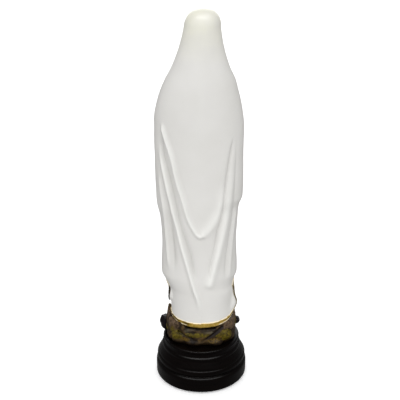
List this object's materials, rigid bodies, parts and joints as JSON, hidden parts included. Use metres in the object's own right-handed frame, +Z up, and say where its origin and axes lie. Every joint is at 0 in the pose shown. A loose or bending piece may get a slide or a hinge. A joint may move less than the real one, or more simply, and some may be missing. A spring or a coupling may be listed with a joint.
{
  "type": "standing madonna statue",
  "caption": "Standing veiled figure with joined hands in a long smooth mantle with gilded edging, on a painted rocky mound fixed to a round turned black wooden base.",
  "frame": {"origin": "centre of the flat underside of the round base", "axes": "+Z up, along the figure; the figure faces -Y and the back of the mantle faces +Y"},
  "size_m": [0.09, 0.09, 0.3648],
  "materials": {
    "felt": "dense dark green felt",
    "black_wood": "turned wood under thick glossy black lacquer",
    "bolt_steel": "zinc-plated steel",
    "insert_brass": "machined brass",
    "dowel_wood": "bare beech",
    "rock_paint": "cast rock, washed in brown, mauve and moss green",
    "boulder_paint": "cast rock, purple-brown wash",
    "dark_glaze": "near-black glossy glaze",
    "mantle_white": "smooth satin white, slightly warmed by age at the crown",
    "gown_white": "smooth satin white",
    "gilding": "brushed gold paint, slightly worn",
    "sash_blue": "satin pale blue paint",
    "skin_paint": "satin painted skin",
    "hair_paint": "satin brown paint"
  },
  "bodies": {
    "root": {"felt_pad": "felt", "wooden_base": "black_wood", "fixing_bolt": "bolt_steel", "fixing_washer": "bolt_steel", "threaded_insert": "insert_brass", "locating_dowels": "dowel_wood", "mantle_pins": "bolt_steel", "rock_mound": "rock_paint", "boulder_left": "boulder_paint", "boulder_right": "boulder_paint", "dark_stone_left": "dark_glaze", "dark_stone_right": "dark_glaze", "gown": "gown_white", "neckline_band": "gilding", "sash_band": "sash_blue", "sash_knot": "sash_blue", "sash_tail_left": "sash_blue", "sash_tail_right": "sash_blue", "left_sleeve": "gown_white", "right_sleeve": "gown_white", "left_hand": "skin_paint", "right_hand": "skin_paint", "wrist_pegs": "bolt_steel", "rosary": "gilding", "head": "skin_paint", "hair": "hair_paint", "mantle": "mantle_white", "mantle_gilding": "gilding", "left_foot": "skin_paint", "right_foot": "skin_paint", "left_foot_rose": "gilding", "right_foot_rose": "gilding"}
  },
  "joints": []
}
